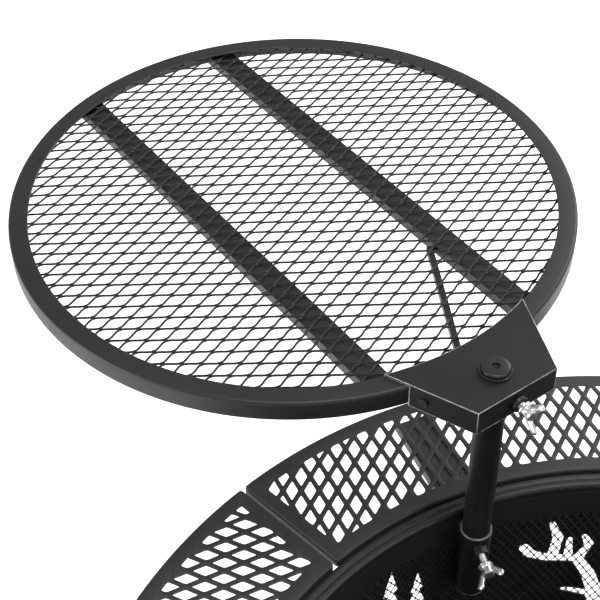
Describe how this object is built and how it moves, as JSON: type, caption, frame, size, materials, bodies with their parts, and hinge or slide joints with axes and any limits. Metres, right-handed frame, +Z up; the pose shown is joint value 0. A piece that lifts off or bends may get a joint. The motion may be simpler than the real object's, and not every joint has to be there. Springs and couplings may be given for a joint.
{
  "type": "fire pit",
  "caption": "Round steel fire pit with a perforated ring shelf, cut-out drum wall and a swivel cooking grate on a height-adjustable post.",
  "frame": {"origin": "on the ground, on the vertical axis of the pit's drum", "axes": "+Z up; +Y towards the middle of shelf panel 1, with the grate's post at 112.5 degrees from +X"},
  "size_m": [0.8834, 1.0889, 0.512],
  "materials": {
    "black_powder_coat": "satin",
    "heat_black_steel": "matte",
    "guard_mesh": "matte",
    "zinc_plated": "bright zinc",
    "black_fastener": "satin",
    "black_plastic": "matte"
  },
  "bodies": {
    "pit": {"shelf_panel_1": "black_powder_coat", "shelf_panel_2": "black_powder_coat", "shelf_panel_3": "black_powder_coat", "shelf_panel_4": "black_powder_coat", "shelf_arm_1": "black_powder_coat", "shelf_arm_2": "black_powder_coat", "shelf_arm_3": "black_powder_coat", "shelf_arm_4": "black_powder_coat", "shelf_arm_5": "black_powder_coat", "shelf_arm_6": "black_powder_coat", "shelf_arm_7": "black_powder_coat", "shelf_arm_8": "black_powder_coat", "arm_bolts": "black_fastener", "arm_nuts": "zinc_plated", "drum_wall": "heat_black_steel", "drum_rim": "black_powder_coat", "spark_guard": "guard_mesh", "dish_ledge": "heat_black_steel", "ash_dish": "heat_black_steel", "leg_1": "black_powder_coat", "leg_2": "black_powder_coat", "leg_3": "black_powder_coat", "leg_4": "black_powder_coat", "leg_bolts": "black_fastener", "leg_nuts": "zinc_plated", "foot_pad_1": "black_plastic", "foot_pad_2": "black_plastic", "foot_pad_3": "black_plastic", "foot_pad_4": "black_plastic", "post_socket": "heat_black_steel", "socket_saddle": "heat_black_steel", "height_lock_nut": "black_fastener"},
    "post": {"post_tube": "black_powder_coat", "post_thread_plug": "heat_black_steel", "post_end_cap": "black_plastic", "pivot_bolt": "black_fastener", "pivot_washer": "black_fastener"},
    "grate": {"grate_bracket": "black_powder_coat", "swing_lock_boss": "black_fastener", "grate_ring": "black_powder_coat", "grate_mesh": "black_powder_coat", "cross_bar_left": "black_powder_coat", "cross_bar_right": "black_powder_coat", "grate_brace": "black_powder_coat", "ring_lugs": "black_powder_coat", "lug_screws": "black_fastener"},
    "height_bolt": {"height_wing_bolt": "zinc_plated"},
    "swing_bolt": {"swing_wing_bolt": "zinc_plated"}
  },
  "joints": [
    {"name": "post_height", "type": "slide", "parent": "pit", "child": "post", "axis": [0, 0, 1], "range_m": [-0.12, 0.045]},
    {"name": "grate_swing", "type": "hinge", "parent": "post", "child": "grate", "pos_m": [-0.10658, 0.2573, 0.505], "axis": [0, 0, 1], "continuous": true},
    {"name": "height_lock", "type": "hinge", "parent": "pit", "child": "height_bolt", "pos_m": [-0.10658, 0.2573, 0.317], "axis": [0.2079, -0.9781, 0], "continuous": true},
    {"name": "swing_lock", "type": "hinge", "parent": "grate", "child": "swing_bolt", "pos_m": [-0.10658, 0.2573, 0.496], "axis": [0.585, -0.8111, 0], "continuous": true}
  ]
}
